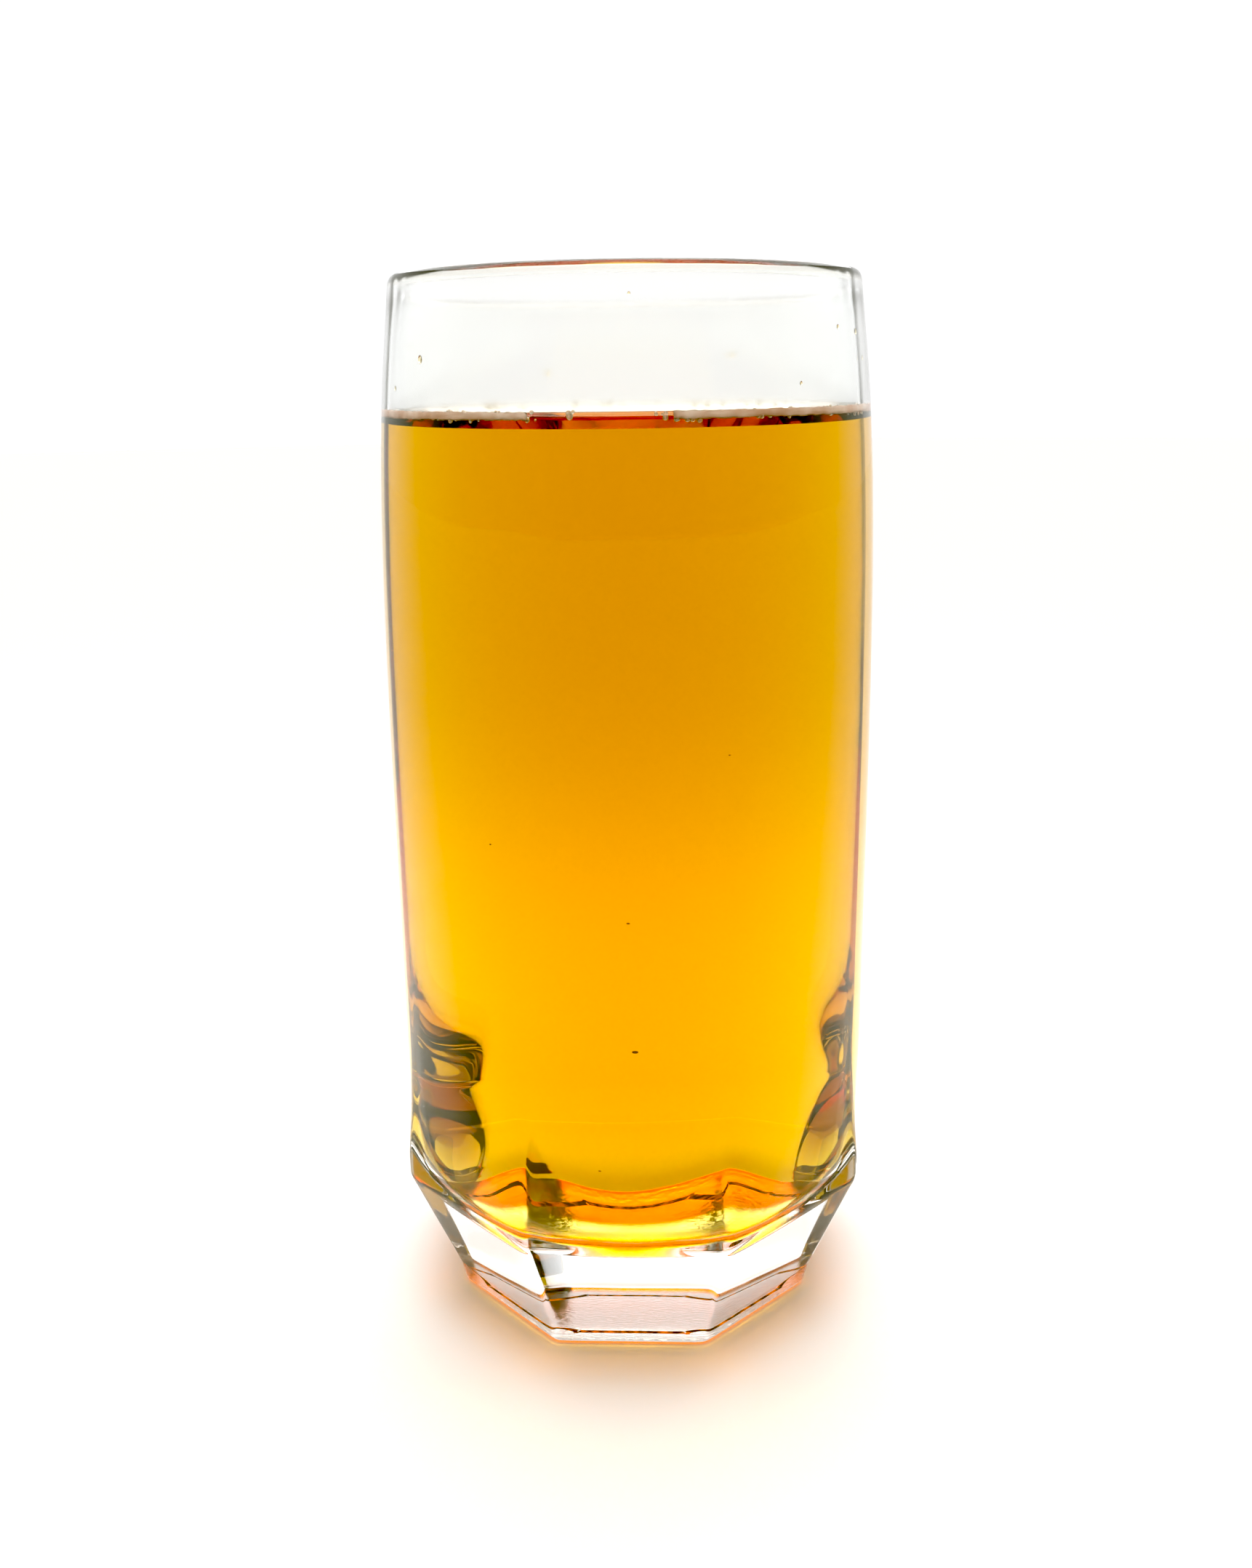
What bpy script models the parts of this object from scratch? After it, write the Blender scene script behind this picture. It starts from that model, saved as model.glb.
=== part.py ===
# A tall clear glass tumbler, nearly full of golden fruit juice.
# Units are metres, +Z is up, and the origin is the centre of the foot's underside.
# One flat side of the tumbler faces -Y. Its foot has eight flat sides, which fade into a round body.

import math

import bmesh
import bpy

# Driving dimensions of the tumbler
HEIGHT = 0.1502              # underside to the top of the lip
SIDES = 8                    # flat sides round the foot and the bottom of the body
BODY_WIDTH = 0.0676          # across two flat sides at the crease above the foot
BODY_RADIUS = 0.03535        # where the body has turned round, above the foot
CREASE_Z = 0.0203            # height of the crease where the body meets the chamfer
CREASE_ROUNDING = 0.0008     # the crease's soft edge, up and down from it
CHAMFER_FOOT_WIDTH = 0.0544  # across flats where the chamfer meets the foot band
CHAMFER_FOOT_Z = 0.0036      # height of that line
FOOT_WIDTH = 0.0532          # across flats just above the heel
HEEL_RADIUS = 0.0013         # rounding between the foot band and the underside
RIDGE_ROUNDING = 0.0026      # rounding of the upright ridges between the flat sides
BODY_TAPER = 0.00025         # how much the round body leans in from the crease to the rim
SHOULDER_DRAW = 0.0033       # how much more it draws in towards the rim
SHOULDER_POWER = 7           # how late that drawing in starts
FLATS_FULL_Z = 0.024         # the sides are fully flat below this height
FLATS_END_Z = 0.046          # and the body is round above this one
FLATS_POWER = 2.5            # how early the flats fade between the two
LIP_Z = 0.1483               # height of the lip's widest point
LIP_OUTER_RADIUS = 0.0323
LIP_THICKNESS = 0.0018
RIM_WALL = 0.00135           # thickness of the wall below the lip
LIP_NECK_Z = 0.1452          # where the lip's bead starts
LOW_WALL_EXTRA = 0.0020      # how much thicker the wall is at the bottom of the bowl
LOW_WALL_Z = 0.028
HIGH_WALL_Z = 0.110
FLOOR_Z = 0.0174             # height of the bowl's floor where its rounded corner ends
FLOOR_CORNER = 0.0079        # rounding between the floor and the wall
FLOOR_DIP = 0.0007           # how much the floor sinks towards its middle

# Driving dimensions of the juice
JUICE_LEVEL_Z = 0.13075      # the flat part of its surface
MENISCUS_HEIGHT = 0.0022     # how far it climbs the wall
MENISCUS_REACH = 0.0018      # how fast that climb dies away from the wall
GAP = 0.0003                 # clearance between the juice and the wall

# Fineness of the meshes
SEGMENTS = 64                # a multiple of the sides, so that each ridge has its own points
FLAT_STEPS = 7               # levels where the flats fade
BODY_STEPS = 9               # and above them
WALL_STEPS = 8
ROUND_STEPS = 5

HALF_SIDE = math.pi / SIDES
RIDGE_RADIUS = BODY_WIDTH / 2 / math.cos(HALF_SIDE)


def blend(start, end, share):
    return start + (end - start) * share


def round_radius(z):
    """Radius of the round body: a slight lean, then the shoulder."""
    up = max(z - CREASE_Z, 0.0) / (HEIGHT - CREASE_Z)
    return BODY_RADIUS - BODY_TAPER * up - SHOULDER_DRAW * up ** SHOULDER_POWER


def flatness(z):
    """1 where the sides are flat, 0 where the body is round."""
    up = (z - FLATS_FULL_Z) / (FLATS_END_Z - FLATS_FULL_Z)
    return (1 - min(max(up, 0.0), 1.0)) ** FLATS_POWER


def ridge_radius(z):
    """Distance of an upright ridge from the axis, until it has faded into the round body."""
    return blend(round_radius(z), RIDGE_RADIUS, flatness(z))


def eight_sided(ridge, angle, rounding):
    """Radius at an angle of an eight-sided outline whose ridges, once rounded, lie at radius ridge."""
    off = (angle + HALF_SIDE) % (2 * HALF_SIDE) - HALF_SIDE
    flat = ridge * math.cos(HALF_SIDE) + rounding * (1 - math.cos(HALF_SIDE))
    turn = math.atan2((flat - rounding) * math.tan(HALF_SIDE), flat)
    if abs(off) <= turn:
        return flat / math.cos(off)
    centre = (flat - rounding) / math.cos(HALF_SIDE)
    slant = HALF_SIDE - abs(off)
    return centre * math.cos(slant) + math.sqrt(rounding ** 2 - (centre * math.sin(slant)) ** 2)


def bowl_radius(z):
    """Radius of the round bowl inside, above its rounded corner."""
    low = min(max((HIGH_WALL_Z - z) / (HIGH_WALL_Z - LOW_WALL_Z), 0.0), 1.0)
    return round_radius(z) - RIM_WALL - LOW_WALL_EXTRA * low ** 2


def soft_corner(before, corner, after, steps):
    """Points (radius, height) of a rounded corner that starts at before and ends at after."""
    points = []
    for step in range(steps + 1):
        t = step / steps
        points.append(tuple((1 - t) ** 2 * b + 2 * t * (1 - t) * c + t ** 2 * a
                            for b, c, a in zip(before, corner, after)))
    return points


def faceted(ridge, z, rounding):
    """One level of the foot or the body's flat part."""
    return z, lambda angle: eight_sided(ridge, angle, rounding)


def round_level(radius, z):
    return z, lambda angle: radius


def body_level(z):
    ridge, share = ridge_radius(z), flatness(z)
    return z, lambda angle: blend(ridge, eight_sided(ridge, angle, RIDGE_ROUNDING), share)


def foot_levels():
    """From the edge of the underside up to the top of the chamfer's soft crease."""
    to_ridge = 1 / (2 * math.cos(HALF_SIDE))
    foot = FOOT_WIDTH * to_ridge
    shelf = CHAMFER_FOOT_WIDTH * to_ridge
    slope = (RIDGE_RADIUS - shelf) / (CREASE_Z - CHAMFER_FOOT_Z)
    levels = []
    for radius, z in soft_corner((foot - HEEL_RADIUS, 0.0), (foot, 0.0), (foot, HEEL_RADIUS), ROUND_STEPS):
        levels.append(faceted(radius, z, RIDGE_ROUNDING))
    levels.append(faceted(shelf, CHAMFER_FOOT_Z, RIDGE_ROUNDING))
    below = (RIDGE_RADIUS - slope * CREASE_ROUNDING, CREASE_Z - CREASE_ROUNDING)
    above = (ridge_radius(CREASE_Z + CREASE_ROUNDING), CREASE_Z + CREASE_ROUNDING)
    for radius, z in soft_corner(below, (RIDGE_RADIUS, CREASE_Z), above, ROUND_STEPS - 1):
        levels.append(faceted(radius, z, RIDGE_ROUNDING))
    return levels


def lip_levels():
    """Over the lip, from its widest point outside to the neck inside."""
    middle = LIP_OUTER_RADIUS - LIP_THICKNESS / 2
    levels = []
    for step in range(2 * ROUND_STEPS - 1):
        angle = math.pi * step / (2 * ROUND_STEPS - 2)
        levels.append(round_level(middle + LIP_THICKNESS / 2 * math.cos(angle),
                                  LIP_Z + (HEIGHT - LIP_Z) * math.sin(angle)))
    return levels


def corner_levels(inset):
    """Round levels down the bowl's bottom corner and over its floor, all drawn in by inset."""
    corner = FLOOR_CORNER - inset
    wall = bowl_radius(FLOOR_Z + FLOOR_CORNER) - inset
    levels = []
    for step in range(1, ROUND_STEPS + 2):
        angle = math.pi / 2 * step / (ROUND_STEPS + 1)
        levels.append(round_level(wall - corner + corner * math.cos(angle),
                                  FLOOR_Z + FLOOR_CORNER - corner * math.sin(angle)))
    for share in (0.66, 0.33):
        levels.append(round_level((wall - corner) * share, FLOOR_Z + inset - FLOOR_DIP * (1 - share ** 2)))
    return levels


def wall_heights(bottom, top, steps):
    return [blend(bottom, top, step / steps) for step in range(steps + 1)]


def place(vertices, level):
    z, radius = level
    for vertex in vertices:
        angle = math.atan2(vertex.co.y, vertex.co.x)
        vertex.co = (radius(angle) * math.cos(angle), radius(angle) * math.sin(angle), z)


def turned_solid(name, levels, material):
    """A closed body drawn ring by ring through the levels, its first and last rings closed to the axis."""
    mesh = bpy.data.meshes.new(name)
    bm = bmesh.new()
    start = bmesh.ops.create_circle(bm, cap_ends=True, cap_tris=True, segments=SEGMENTS, radius=1.0)
    centre = min(start["verts"], key=lambda vertex: vertex.co.length)
    centre.co.z = levels[0][0]
    place([vertex for vertex in start["verts"] if vertex is not centre], levels[0])
    ring = [edge for edge in bm.edges if edge.is_boundary]
    for level in levels[1:]:
        grown = bmesh.ops.extrude_edge_only(bm, edges=ring)["geom"]
        place([item for item in grown if isinstance(item, bmesh.types.BMVert)], level)
        ring = [edge for edge in bm.edges if edge.is_boundary]
    grown = bmesh.ops.extrude_edge_only(bm, edges=ring)["geom"]
    last = [item for item in grown if isinstance(item, bmesh.types.BMVert)]
    bmesh.ops.pointmerge(bm, verts=last, merge_co=(0.0, 0.0, levels[-1][0]))
    bmesh.ops.recalc_face_normals(bm, faces=bm.faces)
    bm.to_mesh(mesh)
    bm.free()
    mesh.materials.append(material)
    mesh.shade_smooth()
    mesh.set_sharp_from_angle(angle=math.radians(14))
    body = bpy.data.objects.new(name, mesh)
    bpy.context.scene.collection.objects.link(body)
    return body


def clear_material(name, colour, roughness, ior):
    material = bpy.data.materials.new(name)
    material.use_nodes = True
    shader = material.node_tree.nodes["Principled BSDF"]
    shader.inputs["Base Color"].default_value = (*colour, 1.0)
    shader.inputs["Roughness"].default_value = roughness
    shader.inputs["Metallic"].default_value = 0.0
    shader.inputs["IOR"].default_value = ior
    shader.inputs["Transmission Weight"].default_value = 1.0
    return material


def build_tumbler():
    levels = foot_levels()
    flats = wall_heights(CREASE_Z + CREASE_ROUNDING, FLATS_END_Z, FLAT_STEPS)
    for z in flats[1:] + wall_heights(FLATS_END_Z, LIP_NECK_Z, BODY_STEPS)[1:]:
        levels.append(body_level(z))
    levels += lip_levels()
    for z in wall_heights(LIP_NECK_Z, FLOOR_Z + FLOOR_CORNER, WALL_STEPS + 2):
        levels.append(round_level(bowl_radius(z), z))
    levels += corner_levels(0.0)
    return turned_solid("tumbler", levels, clear_material("clear glass", (1.0, 1.0, 1.0), 0.0, 1.5))


def build_juice():
    """The juice fills the bowl to its level, and climbs the wall a little at its edge."""
    levels = list(reversed(corner_levels(GAP)))
    contact_z = JUICE_LEVEL_Z + MENISCUS_HEIGHT
    for z in wall_heights(FLOOR_Z + FLOOR_CORNER, contact_z, WALL_STEPS):
        levels.append(round_level(bowl_radius(z) - GAP, z))
    edge = bowl_radius(contact_z) - GAP
    for step in range(1, ROUND_STEPS + 1):
        inward = 2.5 * MENISCUS_REACH * (step / ROUND_STEPS) ** 1.5
        climb = MENISCUS_HEIGHT * math.exp(-inward / MENISCUS_REACH) if step < ROUND_STEPS else 0.0
        levels.append(round_level(edge - inward, JUICE_LEVEL_Z + climb))
    return turned_solid("juice", levels, clear_material("golden juice", (0.95, 0.55, 0.02), 0.0, 1.34))


for old in list(bpy.data.objects):
    bpy.data.objects.remove(old, do_unlink=True)
build_tumbler()
build_juice()
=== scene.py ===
import math
import random

import bmesh
import bpy
from mathutils import Matrix


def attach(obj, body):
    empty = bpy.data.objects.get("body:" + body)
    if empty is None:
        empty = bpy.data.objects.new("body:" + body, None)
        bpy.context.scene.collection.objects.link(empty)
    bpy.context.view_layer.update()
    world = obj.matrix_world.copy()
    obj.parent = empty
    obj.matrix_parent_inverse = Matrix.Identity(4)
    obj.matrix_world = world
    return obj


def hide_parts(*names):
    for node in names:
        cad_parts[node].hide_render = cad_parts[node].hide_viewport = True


# A glass of apple juice on a white table, lit from behind and above.
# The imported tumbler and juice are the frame; the finer pieces below stand in for them.

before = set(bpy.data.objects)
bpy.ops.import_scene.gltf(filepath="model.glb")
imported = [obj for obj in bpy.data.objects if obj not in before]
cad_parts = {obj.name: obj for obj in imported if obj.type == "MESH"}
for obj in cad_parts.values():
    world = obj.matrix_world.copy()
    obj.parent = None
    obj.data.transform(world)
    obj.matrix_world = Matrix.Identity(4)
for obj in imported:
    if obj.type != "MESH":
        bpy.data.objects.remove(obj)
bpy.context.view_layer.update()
scene = bpy.context.scene
print("frame loaded")


# Camera, as the photograph was taken

photo = {
    "width": 1722,
    "height": 2156,
    "focalLength": 2000,      # in the photograph's pixels
    "axisRight": 6.5,         # the glass's axis stands this many pixels right of the middle
    "distance": 0.2100,       # level distance from the glass's axis
    "eyeHeight": 0.1372,
    "turn": 2.1,              # how far the flat side is turned from the camera, degrees
    "down": 15.74,
    "roll": 0.75,
    "film": 36,               # width of the sensor, millimetres
    "nearest": 0.005,         # nothing nearer than this is drawn
}


def makeCamera():
    turn = math.radians(photo["turn"])
    aim = turn + math.atan(photo["axisRight"] / photo["focalLength"])
    bpy.ops.object.camera_add()
    camera = bpy.context.object
    camera.name = "camera"
    camera.matrix_world = (
        Matrix.Translation((photo["distance"] * math.sin(turn), -photo["distance"] * math.cos(turn),
                            photo["eyeHeight"]))
        @ Matrix.Rotation(aim, 4, "Z")
        @ Matrix.Rotation(math.radians(90 - photo["down"]), 4, "X")
        @ Matrix.Rotation(math.radians(-photo["roll"]), 4, "Z"))
    camera.data.sensor_fit = "AUTO"
    camera.data.sensor_width = photo["film"]
    camera.data.lens = photo["film"] * photo["focalLength"] / max(photo["width"], photo["height"])
    camera.data.clip_start = photo["nearest"]
    scene.camera = camera


makeCamera()
print("camera ready")


# Nodes for materials

def newMaterial(name):
    material = bpy.data.materials.new(name)
    material.use_nodes = True
    nodes = material.node_tree.nodes
    return material, nodes, material.node_tree.links, nodes["Principled BSDF"]


def addNode(nodes, kind, **settings):
    node = nodes.new(kind)
    for name, value in settings.items():
        setattr(node, name, value)
    return node


# Table and light

table = {
    "radius": 3.0,
    "corners": 96,
    "drop": 0.0001,                   # a hair below the foot, which rests on it
    "colour": (0.86, 0.86, 0.86),
    "roughness": 0.9,
}

light = {
    "backWall": 1.06,                 # brightness behind the glass
    "room": (0.46, 0.32, 0.17),       # behind the camera, as shares of the back wall
    "sides": (0.84, 0.77, 0.65),
    "turns": (0.35, 0.52, 0.80),      # where room, sides and back wall start, from behind the camera to ahead
    "sky": 0.55,
    "skyRise": (0.25, 0.62),          # heights between which the walls give way to the sky
    "lamp": 4.1,                      # the broad lamp overhead, a little behind the glass
    "lampTint": (1.0, 0.98, 0.91),
    "lampPlace": (0.0, 0.10, 0.995),
    "lampEdge": (0.84, 0.97),         # its soft edge, as cosines of the angle from its middle
    "panelPlace": (0.0, 0.065, 0.205),
    "panelSize": 0.2,
    "panelPower": 0.42,
}


def makeTable():
    bpy.ops.mesh.primitive_circle_add(vertices=table["corners"], radius=table["radius"], fill_type="NGON",
                                      location=(0, 0, -table["drop"]))
    floor = bpy.context.object
    floor.name = "table_top"
    bpy.ops.object.transform_apply(location=True)
    material, nodes, links, shader = newMaterial("white table")
    shader.inputs["Base Color"].default_value = (*table["colour"], 1)
    shader.inputs["Roughness"].default_value = table["roughness"]
    shader.inputs["Specular IOR Level"].default_value = 0.0
    floor.data.materials.append(material)


def makeLight():
    world = bpy.data.worlds.new("white room")
    scene.world = world
    world.use_nodes = True
    nodes, links = world.node_tree.nodes, world.node_tree.links
    background = nodes["Background"]
    direction = addNode(nodes, "ShaderNodeTexCoord")
    parts = addNode(nodes, "ShaderNodeSeparateXYZ")
    links.new(direction.outputs["Generated"], parts.inputs[0])
    toLamp = addNode(nodes, "ShaderNodeVectorMath", operation="DOT_PRODUCT")
    toLamp.inputs[1].default_value = light["lampPlace"]
    links.new(direction.outputs["Generated"], toLamp.inputs[0])

    def fade(socket, start, end):
        # 0 below start, 1 above end
        ramp = addNode(nodes, "ShaderNodeMapRange", interpolation_type="SMOOTHSTEP")
        ramp.inputs["From Min"].default_value = start
        ramp.inputs["From Max"].default_value = end
        links.new(socket, ramp.inputs["Value"])
        return ramp.outputs[0]

    around = addNode(nodes, "ShaderNodeMapRange")
    around.inputs["From Min"].default_value = -1
    links.new(parts.outputs["Y"], around.inputs["Value"])
    walls = addNode(nodes, "ShaderNodeValToRGB")
    roomEnd, sidesPlace, wallStart = light["turns"]
    walls.color_ramp.elements[0].position = roomEnd
    walls.color_ramp.elements[0].color = (*light["room"], 1)
    walls.color_ramp.elements[1].position = wallStart
    walls.color_ramp.elements[1].color = (1, 1, 1, 1)
    walls.color_ramp.elements.new(sidesPlace).color = (*light["sides"], 1)
    links.new(around.outputs[0], walls.inputs["Fac"])
    high = fade(parts.outputs["Z"], *light["skyRise"])
    white = addNode(nodes, "ShaderNodeMix", data_type="RGBA")      # sockets 6 and 7 are its two colours
    white.inputs[7].default_value = (1, 1, 1, 1)
    links.new(high, white.inputs["Factor"])
    links.new(walls.outputs["Color"], white.inputs[6])
    warm = addNode(nodes, "ShaderNodeMix", data_type="RGBA")
    warm.inputs[7].default_value = (*light["lampTint"], 1)
    links.new(white.outputs[2], warm.inputs[6])
    links.new(warm.outputs[2], background.inputs["Color"])
    upper = addNode(nodes, "ShaderNodeMix", data_type="FLOAT")
    upper.inputs["A"].default_value = light["backWall"]
    upper.inputs["B"].default_value = light["sky"]
    links.new(high, upper.inputs["Factor"])
    lamp = addNode(nodes, "ShaderNodeMix", data_type="FLOAT")
    lamp.inputs["B"].default_value = light["lamp"]
    nearLamp = fade(toLamp.outputs["Value"], *light["lampEdge"])
    links.new(nearLamp, warm.inputs["Factor"])
    links.new(nearLamp, lamp.inputs["Factor"])
    links.new(upper.outputs[0], lamp.inputs["A"])
    links.new(lamp.outputs[0], background.inputs["Strength"])
    bpy.ops.object.light_add(type="AREA", location=light["panelPlace"])
    panel = bpy.context.object
    panel.name = "soft_panel"
    panel.data.size = light["panelSize"]
    panel.data.energy = light["panelPower"]


makeTable()
makeLight()

picture = {
    "blackLevel": (0.035, 0.035, 0.07),         # the picture's crisp blacks and pure yellows
    "bounces": 48,                              # light runs far inside the thick foot
    "transparentBounces": 32,
    "blurGlossy": 0.2,
}

scene.view_settings.view_transform = "Standard"
scene.view_settings.use_curve_mapping = True
scene.view_settings.curve_mapping.black_level = picture["blackLevel"]
scene.cycles.max_bounces = picture["bounces"]
scene.cycles.transmission_bounces = picture["bounces"]
scene.cycles.transparent_max_bounces = picture["transparentBounces"]
scene.cycles.blur_glossy = picture["blurGlossy"]
print("table and light ready")


# Tumbler: an eight-sided foot, whose flat sides fade into a round body

tumbler = {
    "height": 0.1502,
    "sides": 8,
    "bodyWidth": 0.0676,          # across two flat sides at the crease
    "bodyRadius": 0.03535,        # where it has turned round, above the foot
    "creaseHeight": 0.0203,       # where the body meets the chamfer
    "creaseRounding": 0.0008,
    "chamferFootWidth": 0.0544,
    "chamferFootHeight": 0.0036,
    "ledge": 0.0005,              # half the height of the soft line there
    "ledgeInset": 0.0002,
    "footWidth": 0.0532,
    "heelRadius": 0.0013,
    "ridgeRounding": 0.0026,
    "taper": 0.00025,             # how much the round body leans in towards the rim
    "shoulderDraw": 0.0033,       # how much more it draws in there
    "shoulderPower": 7,           # and how late
    "flatsFull": 0.024,           # the sides are fully flat below this height
    "flatsEnd": 0.046,            # and the body is round above this one
    "flatsPower": 2.5,
    "lipHeight": 0.1483,          # of its widest point
    "lipOuterRadius": 0.0323,
    "lipThickness": 0.0018,
    "rimWall": 0.00135,
    "lipNeck": 0.1452,
    "lowWallExtra": 0.0020,       # how much thicker the wall is low down
    "lowWall": 0.028,
    "highWall": 0.110,
    "floorHeight": 0.0174,        # where the bowl's rounded corner ends
    "floorCorner": 0.0079,
    "floorDip": 0.0007,           # the floor sinks a little towards its middle
}

tumblerMesh = {
    "ridgeSteps": 2,              # steps round each ridge
    "sideEdge": 0.9,              # edges longer than this share of the longest one are flat sides
    "sideCuts": 5,                # cuts across each flat side
    "heelSteps": 5,
    "ledgeSteps": 3,
    "chamfer": (0.15, 0.5, 0.85),               # rings up the chamfer, as shares of it
    "creaseSteps": 7,
    "flatSteps": 12,
    "bodySteps": 14,
    "lipSteps": 8,
    "bowlSteps": 18,
    "cornerSteps": 8,
    "floor": (0.8, 0.6, 0.35, 0.12),            # rings over the bowl's floor, as shares of its radius
    "soleMiddle": 0.3,                          # rings over the sole, as shares of the foot's radius
    "soleRim": 0.84,
    "bandRing": 0.4,                            # one more ring up the foot's band
    "fineness": 2,                              # levels of subdivision
}

glass = {
    "colour": (0.985, 0.995, 0.985),
    "ior": 1.5,
    "sheen": (0.55, 0.50, 0.36),
    "roughness": 0.02,
    "drySheen": (0.96, 0.96, 0.94),             # the empty top reflects the white room in full
    "dryRoughness": 0.10,                       # lets the light that is caught in the thin wall out again
    "wetSheen": (0.05, 0.05, 0.05),             # juice takes the reflection off the glass that it touches
    "wetTop": 0.1329,
    "insideFrom": 0.0087,                       # all faces lower than this are outside
    "floorLean": 0.02,                          # tells the bowl's inside from the foot's outside
    "waveScale": 70,
    "waveDetail": 1.0,
    "waveStrength": 0.25,
    "waveDepth": 0.0002,
}

sole = {
    "ringFlats": 0.0197,          # the eight-sided ring that it stands on, with painted shade and glow, from the axis to the middle of a side
    "ringWidth": 0.0012,
    "clear": (0.96, 0.96, 0.90),
    "roughness": 0.2,
    "stippleScale": 900,
    "stippleStrength": 0.5,
    "stippleDepth": 0.0002,
    # painted light: dark shade where the glass meets the table, and the golden glow of light through the
    # juice
    "dark": (0.08, 0.03, 0.006),
    "golden": (0.95, 0.55, 0.12),
    "fleckScale": 520,
    "fleckEdges": (0.44, 0.60),   # the noise is painted shade below the first and painted juice-coloured glow above the second
    "paintedRingRoughness": 0.35,
    "paintedRingIor": 1.01,              # hardly bends light, so that the painted shade and glow show through the glass
    "paintedRingClear": 0.2,
    "thin": 0.00005,              # faces lower than this belong to the sole
}

halfSide = math.pi / tumbler["sides"]
ridgeRadius = tumbler["bodyWidth"] / 2 / math.cos(halfSide)
cornerTop = tumbler["floorHeight"] + tumbler["floorCorner"]     # where the bowl's rounded corner starts
nothing = 1e-5                    # a rounding off smaller than this is left out


def roundBody(z):
    up = max(z - tumbler["creaseHeight"], 0) / (tumbler["height"] - tumbler["creaseHeight"])
    shoulder = tumbler["shoulderDraw"] * up ** tumbler["shoulderPower"]
    return tumbler["bodyRadius"] - tumbler["taper"] * up - shoulder


def flatShare(z):
    # 1 where the sides are flat, 0 where the body is round
    up = (z - tumbler["flatsFull"]) / (tumbler["flatsEnd"] - tumbler["flatsFull"])
    return (1 - min(max(up, 0.0), 1.0)) ** tumbler["flatsPower"]


def bodyRidge(z):
    return roundBody(z) + (ridgeRadius - roundBody(z)) * flatShare(z)


def bowlRadius(z):
    low = (tumbler["highWall"] - z) / (tumbler["highWall"] - tumbler["lowWall"])
    return roundBody(z) - tumbler["rimWall"] - tumbler["lowWallExtra"] * min(max(low, 0.0), 1.0) ** 2


def softCorner(before, corner, after, steps):
    # points (radius, height) of a rounded corner
    points = []
    for step in range(steps + 1):
        t = step / steps
        points.append(tuple((1 - t) ** 2 * b + 2 * t * (1 - t) * c + t ** 2 * a
                            for b, c, a in zip(before, corner, after)))
    return points


def evenSteps(start, end, steps):
    return [start + (end - start) * step / steps for step in range(steps + 1)]


def between(start, end, share):
    # a point on the line from one point to another
    return tuple(a + share * (b - a) for a, b in zip(start, end))


def startRing(radius, z):
    # an eight-sided face with rounded corners, a flat side towards -Y
    bpy.ops.object.select_all(action="DESELECT")
    bpy.ops.mesh.primitive_circle_add(vertices=tumbler["sides"], radius=radius, fill_type="NGON",
                                      location=(0, 0, z), rotation=(0, 0, halfSide))
    bpy.ops.object.transform_apply(location=True, rotation=True)
    bpy.ops.object.mode_set(mode="EDIT")
    bpy.ops.mesh.select_all(action="SELECT")
    reach = tumbler["ridgeRounding"] * radius / ridgeRadius * math.tan(halfSide)
    bpy.ops.mesh.bevel(offset=reach, segments=tumblerMesh["ridgeSteps"], affect="VERTICES")
    bpy.ops.mesh.select_mode(type="EDGE")
    bpy.ops.mesh.select_all(action="DESELECT")
    mesh = bmesh.from_edit_mesh(bpy.context.object.data)
    longest = max(edge.calc_length() for edge in mesh.edges)
    for edge in mesh.edges:
        edge.select_set(edge.calc_length() > tumblerMesh["sideEdge"] * longest)
    bmesh.update_edit_mesh(bpy.context.object.data)
    bpy.ops.mesh.subdivide(number_cuts=tumblerMesh["sideCuts"])
    bpy.ops.mesh.select_all(action="SELECT")


def ringShape():
    # (ridge radius, mean radius) of the selected ring
    mesh = bmesh.from_edit_mesh(bpy.context.object.data)
    radii = [vertex.co.xy.length for vertex in mesh.verts if vertex.select]
    return max(radii), sum(radii) / len(radii)


def extrudeRing(z):
    # extrudes the selected ring to a height
    mesh = bmesh.from_edit_mesh(bpy.context.object.data)
    here = next(vertex.co.z for vertex in mesh.verts if vertex.select)
    bpy.ops.mesh.extrude_region_move(TRANSFORM_OT_translate={"value": (0, 0, z - here)})


def sizeRing(radius, z):
    # scales the selected ring until its ridges are at a radius
    ridge, mean = ringShape()
    bpy.ops.transform.resize(value=(radius / ridge, radius / ridge, 1), center_override=(0, 0, z))


def nextRing(radius, z):
    extrudeRing(z)
    sizeRing(radius, z)


def fadingRing(radius, z, flat, fullSink):
    # the next ring, rounded off until only a share of its flats is left
    extrudeRing(z)
    ridge, mean = ringShape()
    sink = 1 - mean / ridge                   # how far the ring's mean lies inside its ridges
    if sink > nothing:
        share = sink / fullSink
        roundOff = (share - flat) / (share * (1 - flat * fullSink))
        if roundOff > nothing:
            bpy.ops.transform.tosphere(value=min(roundOff, 1.0), center_override=(0, 0, z))
    sizeRing(radius, z)


def finishMesh(name):
    bpy.ops.mesh.select_all(action="SELECT")
    bpy.ops.mesh.normals_make_consistent(inside=False)
    bpy.ops.object.mode_set(mode="OBJECT")
    piece = bpy.context.object
    piece.name = name
    smooth = piece.modifiers.new("rounding", "SUBSURF")
    smooth.levels = tumblerMesh["fineness"]
    smooth.render_levels = tumblerMesh["fineness"]
    bpy.ops.object.modifier_apply(modifier=smooth.name)
    bpy.ops.object.shade_smooth()
    return piece


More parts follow.
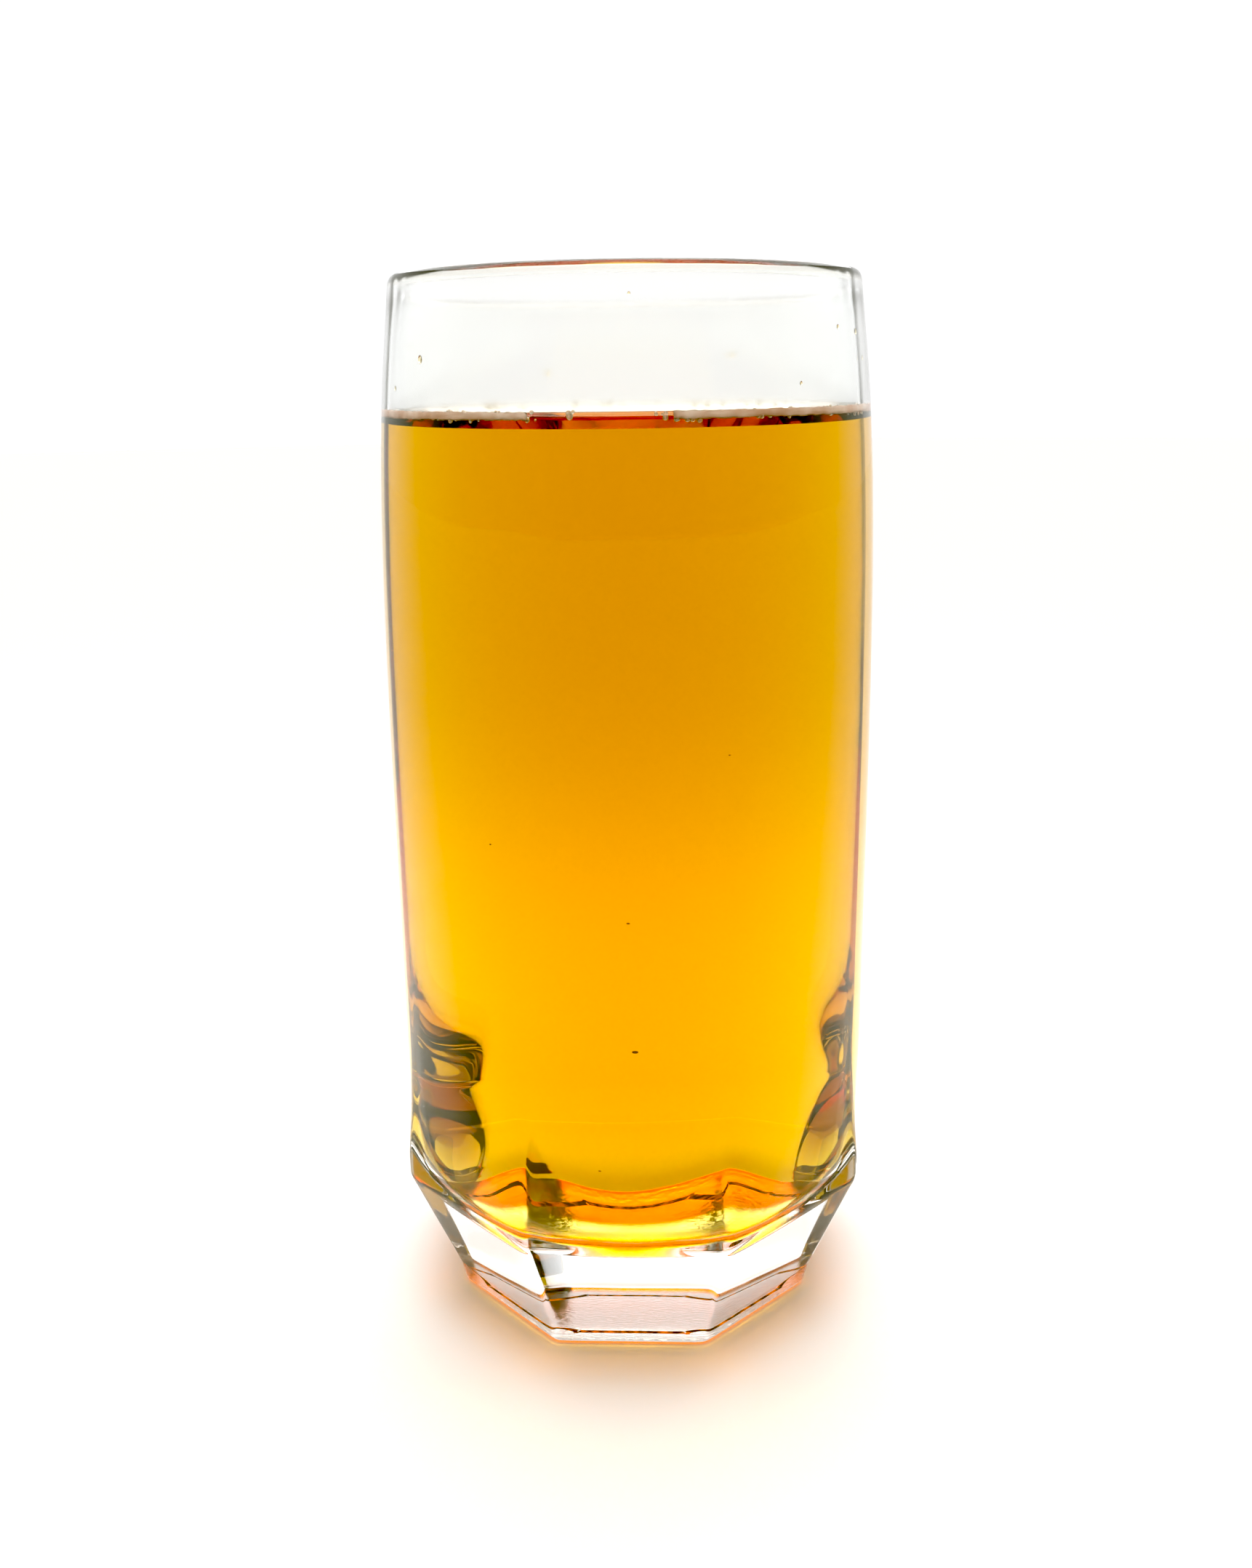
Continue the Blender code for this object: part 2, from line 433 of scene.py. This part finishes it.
def footRings():
    # rings (ridge radius, height) from the middle of the sole up to the top of the soft crease
    toRidge = 1 / (2 * math.cos(halfSide))
    foot = tumbler["footWidth"] * toRidge
    shelf = tumbler["chamferFootWidth"] * toRidge
    shelfHeight, ledge = tumbler["chamferFootHeight"], tumbler["ledge"]
    crease, soft = tumbler["creaseHeight"], tumbler["creaseRounding"]
    slope = (ridgeRadius - shelf) / (crease - shelfHeight)
    heel = tumbler["heelRadius"]
    rings = [(tumblerMesh["soleMiddle"] * foot, 0.0)]
    for share in (-0.5, 0.5):                 # the pressed ring that it stands on
        rings.append(((sole["ringFlats"] + share * sole["ringWidth"]) / math.cos(halfSide), 0.0))
    rings.append((tumblerMesh["soleRim"] * foot, 0.0))
    rings += softCorner((foot - heel, 0.0), (foot, 0.0), (foot, heel), tumblerMesh["heelSteps"])
    rings.append(between((foot, heel), (shelf, shelfHeight), tumblerMesh["bandRing"]))
    rings += softCorner((shelf - tumbler["ledgeInset"], shelfHeight - ledge), (shelf, shelfHeight),
                        (shelf + slope * ledge, shelfHeight + ledge), tumblerMesh["ledgeSteps"])
    start, end = rings[-1], (ridgeRadius - slope * soft, crease - soft)
    rings += [between(start, end, share) for share in tumblerMesh["chamfer"]]
    rings += softCorner(end, (ridgeRadius, crease), (bodyRidge(crease + soft), crease + soft),
                        tumblerMesh["creaseSteps"])
    return rings


def lipRings():
    # over the lip, from its widest point outside to the neck inside
    middle = tumbler["lipOuterRadius"] - tumbler["lipThickness"] / 2
    rings = []
    for angle in evenSteps(0, math.pi, tumblerMesh["lipSteps"]):
        rings.append((middle + tumbler["lipThickness"] / 2 * math.cos(angle),
                      tumbler["lipHeight"] + (tumbler["height"] - tumbler["lipHeight"]) * math.sin(angle)))
    return rings


def cornerRings(inset):
    # down the bowl's rounded bottom corner, drawn in by inset
    corner = tumbler["floorCorner"] - inset
    wall = bowlRadius(cornerTop) - inset
    rings = []
    for angle in evenSteps(0, math.pi / 2, tumblerMesh["cornerSteps"])[1:]:
        rings.append((wall - corner + corner * math.cos(angle), cornerTop - corner * math.sin(angle)))
    return rings


def floorLevel(share):
    # height of the bowl's floor at a share of its radius
    return tumbler["floorHeight"] - tumbler["floorDip"] * (1 - share ** 2)


def addBump(nodes, links, shader, height, strength, depth):
    bump = addNode(nodes, "ShaderNodeBump")
    bump.inputs["Strength"].default_value = strength
    bump.inputs["Distance"].default_value = depth
    links.new(height, bump.inputs["Height"])
    links.new(bump.outputs["Normal"], shader.inputs["Normal"])


def addNoise(nodes, links, scale):
    # noise that stays with the object
    place = addNode(nodes, "ShaderNodeTexCoord")
    noise = addNode(nodes, "ShaderNodeTexNoise")
    noise.inputs["Scale"].default_value = scale
    links.new(place.outputs["Object"], noise.inputs["Vector"])
    return noise


def addShades(nodes, links, shader, fac, colours, edges=(0.0, 1.0)):
    # a colour that goes from one to another with fac
    shade = addNode(nodes, "ShaderNodeValToRGB")
    for element, colour, edge in zip(shade.color_ramp.elements, colours, edges):
        element.color = (*colour, 1)
        element.position = edge
    links.new(fac, shade.inputs["Fac"])
    links.new(shade.outputs["Color"], shader.inputs["Base Color"])


def makeGlassMaterial(name, sheen, roughness):
    # clear glass with the faint waves of a pressed tumbler
    material, nodes, links, shader = newMaterial(name)
    shader.inputs["Specular Tint"].default_value = (*sheen, 1)
    shader.inputs["Base Color"].default_value = (*glass["colour"], 1)
    shader.inputs["Roughness"].default_value = roughness
    shader.inputs["IOR"].default_value = glass["ior"]
    shader.inputs["Transmission Weight"].default_value = 1.0
    wave = addNoise(nodes, links, glass["waveScale"])
    wave.inputs["Detail"].default_value = glass["waveDetail"]
    addBump(nodes, links, shader, wave.outputs["Fac"], glass["waveStrength"], glass["waveDepth"])
    return material


def makeSoleMaterial():
    # the underside's fine stipple
    material, nodes, links, shader = newMaterial("stippled sole")
    shader.inputs["Base Color"].default_value = (*sole["clear"], 1)
    shader.inputs["Roughness"].default_value = sole["roughness"]
    shader.inputs["IOR"].default_value = glass["ior"]
    shader.inputs["Transmission Weight"].default_value = 1.0
    stipple = addNoise(nodes, links, sole["stippleScale"])
    addBump(nodes, links, shader, stipple.outputs["Fac"], sole["stippleStrength"], sole["stippleDepth"])
    return material


def makePaintedRingMaterial():
    # painted shade where the glass meets the table and painted juice-coloured glow, as dark and golden flecks
    # along the ring that it stands on
    material, nodes, links, shader = newMaterial("ring painted shade and glow")
    shader.inputs["Roughness"].default_value = sole["paintedRingRoughness"]
    shader.inputs["IOR"].default_value = sole["paintedRingIor"]
    shader.inputs["Transmission Weight"].default_value = sole["paintedRingClear"]
    fleck = addNoise(nodes, links, sole["fleckScale"])
    addShades(nodes, links, shader, fleck.outputs["Fac"], (sole["dark"], sole["golden"]), sole["fleckEdges"])
    return material


def isPaintedRing(face):
    # whether a face of the sole lies on the ring with painted shade and glow
    middle = face.center
    off = (math.atan2(middle.y, middle.x) + halfSide) % (2 * halfSide) - halfSide
    return abs(middle.xy.length * math.cos(off) - sole["ringFlats"]) < sole["ringWidth"] / 2


def paintTumbler(piece):
    # gives each face its material, by the order in which they are added
    outside, wetted, under, dry, paintedRing = range(5)
    piece.data.materials.append(makeGlassMaterial("clear glass", glass["sheen"], glass["roughness"]))
    piece.data.materials.append(makeGlassMaterial("wetted glass", glass["wetSheen"], 0.0))
    piece.data.materials.append(makeSoleMaterial())
    piece.data.materials.append(makeGlassMaterial("dry glass", glass["drySheen"], glass["dryRoughness"]))
    piece.data.materials.append(makePaintedRingMaterial())
    for face in piece.data.polygons:
        middle = face.center
        if middle.z > glass["wetTop"]:
            face.material_index = dry
        elif middle.z < sole["thin"]:
            face.material_index = paintedRing if isPaintedRing(face) else under
        elif middle.z > glass["insideFrom"]:
            towards = (middle.x, middle.y, -glass["floorLean"])       # outwards, and a little down
            face.material_index = wetted if face.normal.dot(towards) < 0 else outside


def makeTumbler():
    rings = footRings()
    startRing(*rings[0])
    ridge, mean = ringShape()
    fullSink = 1 - mean / ridge
    for radius, z in rings[1:]:
        nextRing(radius, z)
    crease = tumbler["creaseHeight"] + tumbler["creaseRounding"]
    fading = evenSteps(crease, tumbler["flatsEnd"], tumblerMesh["flatSteps"])[1:]
    upright = evenSteps(tumbler["flatsEnd"], tumbler["lipNeck"], tumblerMesh["bodySteps"])[1:]
    for z in fading + upright:
        fadingRing(bodyRidge(z), z, flatShare(z), fullSink)
    for radius, z in lipRings():
        nextRing(radius, z)
    for z in evenSteps(tumbler["lipNeck"], cornerTop, tumblerMesh["bowlSteps"]):
        nextRing(bowlRadius(z), z)
    corner = cornerRings(0.0)
    for radius, z in corner:
        nextRing(radius, z)
    for share in tumblerMesh["floor"]:
        nextRing(share * corner[-1][0], floorLevel(share))
    bpy.ops.mesh.edge_face_add()
    piece = finishMesh("glass_tumbler")
    paintTumbler(piece)
    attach(piece, "root")
    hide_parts("tumbler")


makeTumbler()
print("tumbler ready")


# Juice, filling the bowl and reaching just into its wall

juice = {
    "level": 0.13075,
    "climb": 0.0022,              # how far its edge climbs the wall
    "bend": 0.0013,               # height where the climb starts to turn upright
    "slope": 25,                  # degrees, of its lower part
    "steep": 80,                  # and of its top at the wall
    "intoWall": 0.00015,
    "ior": 1.34,
    "sheen": 0.05,
    "absorbs": 120,               # per metre, for what the colour leaves out
    "colour": (0.9575, 0.846, 0.02),
}

juiceMesh = {
    "floor": (0.12, 0.35, 0.6, 0.8),            # rings over its underside, as shares of its radius
    "wallSteps": 16,
    "climbSteps": 23,
    "surface": (0.7, 0.4, 0.1),                 # rings over its level surface
}

contact = juice["level"] + juice["climb"]       # height of the line where the juice meets the wall


def makeJuiceMaterial():
    material, nodes, links, shader = newMaterial("golden juice")
    shader.inputs["Base Color"].default_value = (1, 1, 1, 1)
    shader.inputs["Roughness"].default_value = 0.0
    shader.inputs["IOR"].default_value = juice["ior"]
    shader.inputs["Specular Tint"].default_value = (juice["sheen"], juice["sheen"], juice["sheen"], 1)
    shader.inputs["Transmission Weight"].default_value = 1.0
    depth = addNode(nodes, "ShaderNodeVolumeAbsorption")
    depth.inputs["Color"].default_value = (*juice["colour"], 1)
    depth.inputs["Density"].default_value = juice["absorbs"]
    links.new(depth.outputs[0], nodes["Material Output"].inputs["Volume"])
    return material


def meniscusReach(climb):
    # how far from the wall the raised edge has come down to a height above the juice's level
    full, bend = juice["climb"], juice["bend"]
    slope, steep = math.radians(juice["slope"]), math.radians(juice["steep"])
    curve = (full - bend) / (math.cos(slope) - math.cos(steep))
    if climb < bend:
        return curve * (math.sin(steep) - math.sin(slope)) + (bend - climb) / math.tan(slope)
    turned = math.acos(math.cos(steep) + (full - climb) / curve)
    return curve * (math.sin(steep) - math.sin(turned))


def makeJuice():
    inset = -juice["intoWall"]
    corner = list(reversed(cornerRings(inset)))
    floor = [(share * corner[0][0], floorLevel(share) + inset) for share in juiceMesh["floor"]]
    startRing(*floor[0])
    bpy.ops.transform.tosphere(value=1.0, center_override=(0, 0, floor[0][1]))
    for radius, z in floor[1:] + corner:
        nextRing(radius, z)
    for z in evenSteps(cornerTop, contact, juiceMesh["wallSteps"]):
        nextRing(bowlRadius(z) - inset, z)
    steps = juiceMesh["climbSteps"]
    for step in range(steps):
        climb = juice["climb"] * (1 - step / steps) ** 2
        edge = bowlRadius(contact) - meniscusReach(climb)
        nextRing(edge, juice["level"] + climb)
    for share in juiceMesh["surface"]:
        nextRing(edge * share, juice["level"])
    bpy.ops.mesh.edge_face_add()
    piece = finishMesh("golden_juice")
    piece.data.materials.append(makeJuiceMaterial())
    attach(piece, "root")
    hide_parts("juice")


makeJuice()
print("juice ready")


# Froth and bubbles along the juice's edge, drops on the dry wall above it, and specks in the juice

bubbles = {
    "seed": 7,
    "clusters": ((-80, -50, 14), (-47, -30, 24), (-27, -17, 12), (-10, -8, 3), (8, 18, 13), (30, 42, 10),
                 (50, 57, 10), (58, 84, 46), (95, 270, 60)),     # from one angle to another, and how many
    "smallest": 0.0003,
    "largest": 0.0009,
    "deepest": 0.0011,            # below the line where the juice meets the wall
    "offWall": 0.42,              # from the wall to its middle, as a share of its width
    "segments": 8,
    "rings": 6,
    "roughness": 0.06,
    "ior": 1.2,
    "clear": 0.55,
    "cloudScale": 900,
    "colour": ((0.95, 0.80, 0.60), (1.0, 0.98, 0.94)),
}

froth = {
    "height": 0.0010,
    "thickness": 0.0004,
    "below": 0.0005,              # its middle lies this far below the line where the juice meets the wall
    "ragged": 0.00012,
    "raggedness": 0.5,
    "raggedSeed": 3,
    "arcs": ((-84, -19), (12, 86)),             # from one angle to another
    "corners": 10,
    "steps": 80,
    "roughness": 0.3,
    "ior": 1.05,
    "clear": 0.25,
    "cloudScale": 260,
    "colour": ((0.74, 0.48, 0.36), (0.98, 0.80, 0.68)),
    "edges": (0.35, 0.65),
}

drops = {
    "places": ((-50, 0.1392, 0.8), (58, 0.1425, 0.5), (68, 0.1420, 0.6), (72, 0.1388, 0.5),
               (-62, 0.1357, 0.5), (3, 0.1462, 0.35), (43, 0.1358, 0.4), (150, 0.1400, 0.6),
               (205, 0.1375, 0.7), (262, 0.1415, 0.5)),         # angle, height, width in millimetres
    "intoWall": 0.00012,
    "offWall": 0.22,
    "tall": 1.35,                 # height and thickness, as shares of its width
    "thick": 0.6,
    "colour": (0.98, 0.88, 0.62),
    "rippleScale": 1200,
    "roughest": 0.08,
}

specks = {
    "places": ((1.2, 0.0687, 0.45), (2.4, 0.0503, 0.85), (-6.5, 0.0322, 0.4), (24, 0.0905, 0.3),
               (-31, 0.0780, 0.35), (140, 0.0600, 0.6), (215, 0.0950, 0.5)),
    "inside": 0.0006,             # from the wall to its middle
    "tall": 0.45,
    "thick": 0.3,
    "roughness": 0.6,
    "grainScale": 2500,
    "colour": ((0.10, 0.045, 0.01), (0.32, 0.17, 0.05)),
}

flake = {
    "segments": 20,
    "rings": 12,
}


def onWall(degrees, radius, z):
    # a point round the glass, with 0 degrees at the flat side that faces the camera
    angle = math.radians(degrees)
    return (radius * math.sin(angle), -radius * math.cos(angle), z)


def startPiece():
    # an empty mesh in edit mode, which shapes are then added to
    bpy.ops.object.select_all(action="DESELECT")
    bpy.ops.mesh.primitive_cube_add()
    bpy.ops.object.mode_set(mode="EDIT")
    bpy.ops.mesh.select_all(action="SELECT")
    bpy.ops.mesh.delete(type="VERT")


def endPiece(name, material):
    bpy.ops.mesh.select_all(action="SELECT")
    bpy.ops.mesh.normals_make_consistent(inside=False)
    bpy.ops.object.mode_set(mode="OBJECT")
    bpy.ops.object.shade_smooth()
    piece = bpy.context.object
    piece.name = name
    piece.data.materials.append(material)
    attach(piece, "root")


def makeBubbleMaterial():
    material, nodes, links, shader = newMaterial("bubble film")
    shader.inputs["Roughness"].default_value = bubbles["roughness"]
    shader.inputs["IOR"].default_value = bubbles["ior"]
    shader.inputs["Transmission Weight"].default_value = bubbles["clear"]
    cloud = addNoise(nodes, links, bubbles["cloudScale"])
    addShades(nodes, links, shader, cloud.outputs["Fac"], bubbles["colour"])
    return material


def makeBubbles():
    draw = random.Random(bubbles["seed"])
    startPiece()
    for start, end, count in bubbles["clusters"]:
        for _ in range(count):
            width = bubbles["smallest"] + (bubbles["largest"] - bubbles["smallest"]) * draw.random() ** 2
            z = contact - bubbles["deepest"] * draw.random()
            bpy.ops.mesh.primitive_uv_sphere_add(
                segments=bubbles["segments"], ring_count=bubbles["rings"], radius=width / 2,
                location=onWall(draw.uniform(start, end), bowlRadius(z) - bubbles["offWall"] * width, z))
    endPiece("juice_bubbles", makeBubbleMaterial())


def makeFrothMaterial():
    material, nodes, links, shader = newMaterial("fine froth")
    shader.inputs["Roughness"].default_value = froth["roughness"]
    shader.inputs["IOR"].default_value = froth["ior"]
    shader.inputs["Transmission Weight"].default_value = froth["clear"]
    cloud = addNoise(nodes, links, froth["cloudScale"])
    addShades(nodes, links, shader, cloud.outputs["Fac"], froth["colour"], froth["edges"])
    return material


def makeFroth():
    # thin uneven lines of froth where the juice meets the wall, beside the clear middle
    middle = contact - froth["below"]
    axis = (0, 0, middle)
    thin = froth["thickness"] / 2
    startPiece()
    for start, end in froth["arcs"]:
        bpy.ops.mesh.select_all(action="DESELECT")
        bpy.ops.mesh.primitive_circle_add(
            vertices=froth["corners"], radius=thin, rotation=(0, math.pi / 2, 0),
            location=onWall(0, bowlRadius(middle) - thin + juice["intoWall"], middle))
        bpy.ops.transform.resize(value=(1, 1, froth["height"] / froth["thickness"]), center_override=axis)
        bpy.ops.transform.rotate(value=-math.radians(start), orient_axis="Z", center_override=axis)
        bpy.ops.mesh.spin(steps=froth["steps"], angle=math.radians(start - end),
                          center=axis, axis=(0, 0, 1))
    bpy.ops.mesh.select_all(action="SELECT")
    bpy.ops.mesh.fill_holes(sides=0)
    bpy.ops.transform.vertex_random(offset=froth["ragged"], uniform=froth["raggedness"],
                                    seed=froth["raggedSeed"])
    endPiece("froth_line", makeFrothMaterial())


def makeDropMaterial():
    # clear juice, a little rippled here and there
    material, nodes, links, shader = newMaterial("drop of juice")
    shader.inputs["Base Color"].default_value = (*drops["colour"], 1)
    shader.inputs["IOR"].default_value = juice["ior"]
    shader.inputs["Transmission Weight"].default_value = 1.0
    ripple = addNoise(nodes, links, drops["rippleScale"])
    clear = addNode(nodes, "ShaderNodeMapRange")
    clear.inputs["To Max"].default_value = drops["roughest"]
    links.new(ripple.outputs["Fac"], clear.inputs["Value"])
    links.new(clear.outputs[0], shader.inputs["Roughness"])
    return material


def addFlake(degrees, z, width, radius, tall, thick):
    # a ball on the wall, taller or thinner than it is wide
    bpy.ops.mesh.select_all(action="DESELECT")
    bpy.ops.mesh.primitive_uv_sphere_add(
        segments=flake["segments"], ring_count=flake["rings"], radius=width / 2,
        location=onWall(0, radius, z))
    bpy.ops.transform.resize(value=(1, thick, tall), center_override=onWall(0, radius, z))
    bpy.ops.transform.rotate(value=-math.radians(degrees), orient_axis="Z", center_override=(0, 0, z))


def makeDrops():
    startPiece()
    for degrees, z, size in drops["places"]:
        width = size / 1000
        radius = bowlRadius(z) - drops["offWall"] * width + drops["intoWall"]
        addFlake(degrees, z, width, radius, drops["tall"], drops["thick"])
    endPiece("wall_drops", makeDropMaterial())


def makeSpeckMaterial():
    material, nodes, links, shader = newMaterial("fruit speck")
    shader.inputs["Roughness"].default_value = specks["roughness"]
    grain = addNoise(nodes, links, specks["grainScale"])
    addShades(nodes, links, shader, grain.outputs["Fac"], specks["colour"])
    return material


def makeSpecks():
    startPiece()
    for degrees, z, size in specks["places"]:
        addFlake(degrees, z, size / 1000, bowlRadius(z) - specks["inside"], specks["tall"], specks["thick"])
    endPiece("juice_specks", makeSpeckMaterial())


makeFroth()
makeBubbles()
makeDrops()
makeSpecks()
print("bubbles, drops and specks ready")
